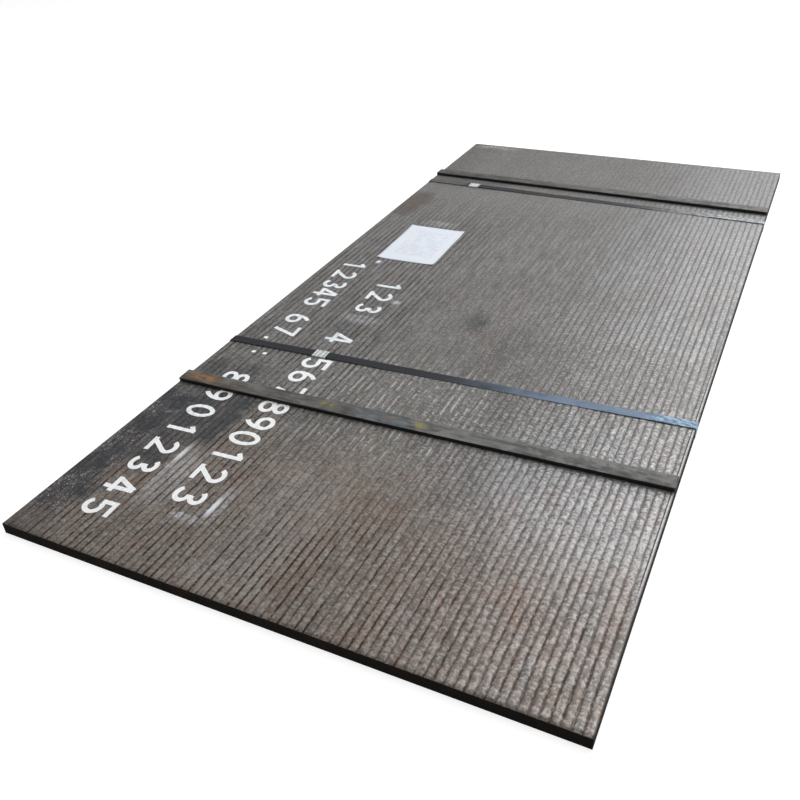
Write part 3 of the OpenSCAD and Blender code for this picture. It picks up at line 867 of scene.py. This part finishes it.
# grey mill scale streaked along the bar, paler to the right; the front bar is brown at its left end, with an
# orange patch there, an orange dash, a slate-grey stretch and two yellow dabs; black sides of painted shade
def barFinish():
    f = Finish("rolledScale")
    where, x, y, z = f.place()
    cloud = f.noise(f.point(x, y * 2.2, z), 9, 4.0)
    flake = f.noise(where, 42, 4.0, 0.65)
    rolled = f.noise(f.point(x * 12, y * 420, z * 300), rough=0.5)
    streak = f.noise(f.point(x * 8, y * 95, z * 60), 1.0, 4.0, 0.65)
    patchy = f.noise(f.point(x, y * 1.6, z), 21, 3.0, 0.55)
    blots = f.noise(f.point(x, y * 1.3, z), 37, 3.0, 0.55)
    front = 1 - f.rise(y, 0, 0.1)
    across = y - bars["front"]["y"] - bars["front"]["skew"] / bars["span"] * x
    inside = 1 - f.rise(abs(across) + (flake - 0.5) * 0.02, 0.008, 0.019)
    f.tone = f.mix(f.rise(x + (cloud - 0.5) * 0.5, -0.45, 0.25), bars["scale"], bars["pale"])
    f.lay((1 - f.rise(x + (cloud - 0.5) * 0.6, -0.72, -0.36)) * front * 0.75, bars["brown"])
    f.lay(f.within(x + (flake - 0.5) * 0.1, *bars["slateAt"], 0.02) * front * 0.70, bars["slate"])
    sooty = 1 - f.rise(streak * 0.45 + flake * 0.2 + patchy * 0.35, 0.40, 0.54)
    f.lay(sooty * 0.54, bars["dark"])
    f.lay(f.rise(streak * 0.4 + patchy * 0.6, 0.49, 0.60) * 0.45, bars["worn"])
    f.lay((1 - f.rise(blots, 0.40, 0.54)) * f.rise(x, 0.1, 0.4) * 0.45, bars["dark"])
    f.lay((0.32 - 0.30 * f.rise(x, 0.1, 0.6)) * (1 - front), bars["dark"])
    rust = f.within(x, *bars["rustAt"], 0.030) * f.rise(flake, 0.36, 0.56) * inside * front
    f.lay(rust * 0.8, bars["orange"])
    dash = f.within(x + (flake - 0.5) * 0.02, *bars["dashAt"], 0.006)
    dash = dash * f.within(across, *bars["dashAcross"], 0.002)
    f.lay(dash * 0.7, bars["orange"])
    yellow = reduce(Value.atLeast, [f.within(x, *place) for place in bars["yellowAt"]]) * front
    f.lay(yellow * f.rise(flake, 0.46, 0.58) * inside * 0.8, bars["yellow"])
    # painted shade: faces that are not turned up are laid near black
    upward = f.axes(f.add("ShaderNodeNewGeometry", out="True Normal"))[2]
    f.lay(1 - f.rise(upward, 0.2, 0.6), bars["paintedShadeSide"])
    f.surface(Base_Color=f.tone, Roughness=0.58 + 0.25 * (flake - 0.5), Metallic=0.22 * (1 - rust),
              Specular_IOR_Level=0.20, Normal=f.bump(flake * 0.7 + rolled * 0.3, bars["relief"]))
    return f


rolledScale = barFinish()
frontBar = buildBar("frontBar", bars["front"], rolledScale, "front_bar")
backBar = buildBar("backBar", bars["back"], rolledScale, "back_bar")
print("bars:", len(frontBar.data.polygons), "faces each")

sleeve = {
    "x": -0.442, "y": 0.292, "wide": 0.222, "long": 0.318, "turn": 0.0209, "seat": 31.1 * mm,
    "thick": 0.6 * mm, "cols": 56, "rows": 80, "margin": 6 * mm, "lineStep": 12.5 * mm,
    "ripple": 1.1 * mm, "ripples": [(19, 11, 0.6), (-9, 27, 2.1)],  # radians to the metre both ways, phase
    "curl": 2.4 * mm, "curlFrom": 0.82, "relief": 1.5 * mm,
    "paper": (0.83, 0.88, 0.96), "clear": (0.72, 0.77, 0.86), "ruling": (0.46, 0.49, 0.60),
}


# a flat sheet on a grid, lifted by a few long waves and at its corners, with an underside one thickness below
def buildSleeve(finish):
    u, v = np.meshgrid(np.linspace(-0.5, 0.5, sleeve["cols"]), np.linspace(-0.5, 0.5, sleeve["rows"]))
    a, b = u * sleeve["wide"], v * sleeve["long"]
    ripple = 0.5 + 0.25 * sum(np.sin(p * a + q * b + phase) for p, q, phase in sleeve["ripples"])
    corner = np.clip(np.abs(u) + np.abs(v) - sleeve["curlFrom"], 0, 1) / (1 - sleeve["curlFrom"])
    lift = sleeve["ripple"] * ripple + sleeve["curl"] * corner ** 2
    cos, sin = np.cos(sleeve["turn"]), np.sin(sleeve["turn"])
    x, y = sleeve["x"] + a * cos - b * sin, sleeve["y"] + a * sin + b * cos
    top = together(x, y, sleeve["seat"] + sleeve["thick"] + lift)
    low = top - (0, 0, sleeve["thick"])
    rows, cols = u.shape
    count = rows * cols
    faces = gridQuads(rows, cols).tolist() + gridQuads(rows, cols, count)[:, ::-1].tolist()
    index = np.arange(count).reshape(rows, cols)
    rim = np.concatenate([index[0, :-1], index[:-1, -1], index[-1, :0:-1], index[:0:-1, 0]])
    nextRim = np.roll(rim, -1)
    faces += together(nextRim, rim, rim + count, nextRim + count).tolist()
    place = together(a, b, 0).reshape(-1, 3)
    return makePiece("documentSleeve", np.vstack([top.reshape(-1, 3), low.reshape(-1, 3)]), faces, [finish],
                     ["document_sleeve"], True, {"sheetMap": np.vstack([place, place])})


# white paper with a clear margin round it and rows of faint grey runs on it, under a smooth film
def sleeveFinish():
    f = Finish("paperSleeve")
    a, b, _ = f.attribute("sheetMap")
    soft = f.noise(f.place()[0], 26, rough=0.5)
    half = (sleeve["wide"] / 2 - sleeve["margin"], sleeve["long"] / 2 - sleeve["margin"])
    inside = f.within(a, -half[0], half[0], 0.0008) * f.within(b, -half[1], half[1], 0.0008)
    f.tone = f.mix(inside, sleeve["clear"], sleeve["paper"])
    # even lines across the sheet, broken into runs of uneven length
    row = b / sleeve["lineStep"]
    lines = f.rise(abs(row.fract() - 0.5), 0.26, 0.40)
    runs = f.rise(f.noise(f.point(a * 38, row.floor() * 2.7, 0.0), rough=0.5), 0.46, 0.54)
    letters = 0.5 + 0.5 * f.rise(f.noise(f.point(a * 420, b * 300, 0.0), detail=1.0, rough=0.5), 0.40, 0.55)
    block = f.within(a, -0.072, 0.080, 0.004) * f.within(b, -0.110, 0.120, 0.004)
    f.lay(lines * runs * letters * block * 0.7, sleeve["ruling"])
    f.surface(Base_Color=f.tone, Roughness=0.22 + 0.2 * soft, Normal=f.bump(soft, sleeve["relief"]))
    return f


documentSleeve = buildSleeve(sleeveFinish())
print("sleeve:", len(documentSleeve.data.polygons), "faces")

studio = {
    "floorHalf": 20.0, "floor": (0.50, 0.50, 0.50), "glow": (0.75, 0.75, 0.75),
    "sky": 0.36, "rim": 1.0, "horizon": (0.12, 0.25),
    "softbox": {"at": (1.7, 5.2, 4.4), "aim": (0.2, -0.3, 0), "roll": 0.46, "size": (5.0, 5.8), "watts": 270},
    "overhead": {"at": (0.6, 0.3, 5.0), "aim": (0, 0, 0), "roll": 0.0, "size": (4.0, 4.0), "watts": 95},
}


# a wide flat floor that takes shadows and glows where it is seen, but lights nothing else
def buildFloor():
    f = Finish("paleFloor")
    path = f.add("ShaderNodeLightPath", out="Is Camera Ray")
    seen = (path + path.out("Is Glossy Ray") + path.out("Is Transmission Ray")).atMost(1.0)
    f.surface(Base_Color=studio["floor"], Roughness=0.9, Specular_IOR_Level=0, Emission_Strength=1.0,
              Emission_Color=f.mix(seen, (0, 0, 0), studio["glow"]))
    half = studio["floorHalf"]
    mesh = bpy.data.meshes.new("floor")
    corners = [(-half, -half, 0), (half, -half, 0), (half, half, 0), (-half, half, 0)]
    mesh.from_pydata(corners, [], [(0, 1, 2, 3)])
    mesh.materials.append(f.material)
    floor = bpy.data.objects.new("floor", mesh)
    scene.collection.objects.link(floor)


# the world is white near the horizon and a plain grey above it
def buildWorld():
    world = bpy.data.worlds.new("studio")
    world.use_nodes = True
    scene.world = world
    sky = Nodes(world.node_tree)
    up = sky.axes(sky.add("ShaderNodeTexCoord", out="Generated"))[2]
    low, high = studio["horizon"]
    light = sky.add("ShaderNodeMapRange", {"interpolation_type": "SMOOTHSTEP"}, {
        "Value": up, "From Min": low, "From Max": high, "To Min": studio["rim"], "To Max": studio["sky"]})
    sky.put(sky.tree.nodes["Background"].inputs["Color"], light)


# a rectangular lamp at its place, facing its aim, rolled about that line
def buildLamp(name, lamp):
    light = bpy.data.lights.new(name, "AREA")
    light.shape = "RECTANGLE"
    light.size, light.size_y = lamp["size"]
    light.energy = lamp["watts"]
    item = bpy.data.objects.new(name, light)
    scene.collection.objects.link(item)
    ahead = np.array(lamp["aim"], float) - np.array(lamp["at"], float)
    back = -ahead / np.linalg.norm(ahead)
    side = np.cross((0, 0, 1) if abs(back[2]) < 0.99 else (0, 1, 0), back)
    side /= np.linalg.norm(side)
    up = np.cross(back, side)
    cos, sin = np.cos(lamp["roll"]), np.sin(lamp["roll"])
    axes = np.stack([side * cos + up * sin, up * cos - side * sin, back], 1)
    place = Matrix(axes.tolist()).to_4x4()
    place.translation = lamp["at"]
    item.matrix_world = place


view = {  # focal length in picture widths, sensor in mm, rotation vector and shift from the plate to the view
    "focus": 851.965 / 800, "sensor": 36.0, "far": 200,
    "turn": (2.12642806, 0.459517646, -0.309607663), "shift": (0.352936886, -0.343662658, 2.82378816),
}


# a pinhole view: the rotation vector gives a matrix whose rows are the view's right, down and forward
def buildCamera():
    turn = Vector(view["turn"])
    spin = np.array(Matrix.Rotation(turn.length, 3, turn))
    at = -spin.T @ np.array(view["shift"]) + (0, 0, plate["crown"])
    camera = bpy.data.cameras.new("camera")
    camera.sensor_width = view["sensor"]
    camera.lens = view["sensor"] * view["focus"]
    camera.clip_end = view["far"]
    item = bpy.data.objects.new("camera", camera)
    scene.collection.objects.link(item)
    place = Matrix(np.stack([spin[0], -spin[1], -spin[2]], 1).tolist()).to_4x4()
    place.translation = at.tolist()
    item.matrix_world = place
    scene.camera = item


buildFloor()
buildWorld()
for name in ("softbox", "overhead"):
    buildLamp(name, studio[name])
buildCamera()
print("stage, lamps and camera set")

bpy.context.view_layer.update()
